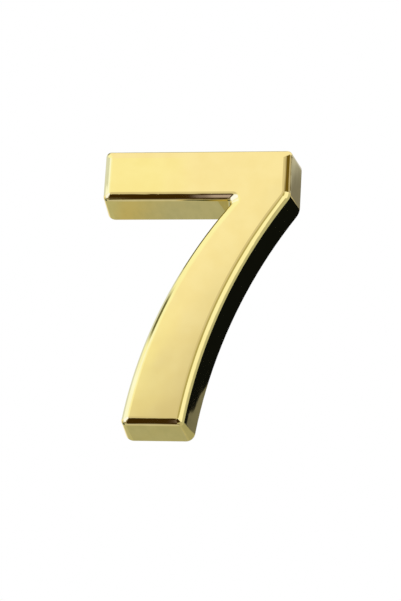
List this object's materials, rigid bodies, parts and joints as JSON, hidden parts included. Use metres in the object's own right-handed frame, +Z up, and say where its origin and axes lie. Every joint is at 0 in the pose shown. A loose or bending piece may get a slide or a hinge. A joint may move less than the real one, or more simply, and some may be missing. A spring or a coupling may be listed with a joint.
{
  "type": "house number",
  "caption": "Stick-on door numeral seven: straight bar and curved stem, bevelled polished face, sides that flare to a flat back, hollow ribbed inside, gold-tone plating.",
  "frame": {"origin": "centre of the flat back, at half the numeral's width and height, on the plane that meets the door", "axes": "+X to the right as the numeral is read, +Y out of the back into the door, +Z up; the face looks along -Y"},
  "size_m": [0.0338, 0.008, 0.05],
  "materials": {
    "gold_plating": "polished"
  },
  "bodies": {
    "root": {"numeral_seven": "gold_plating"}
  },
  "joints": []
}
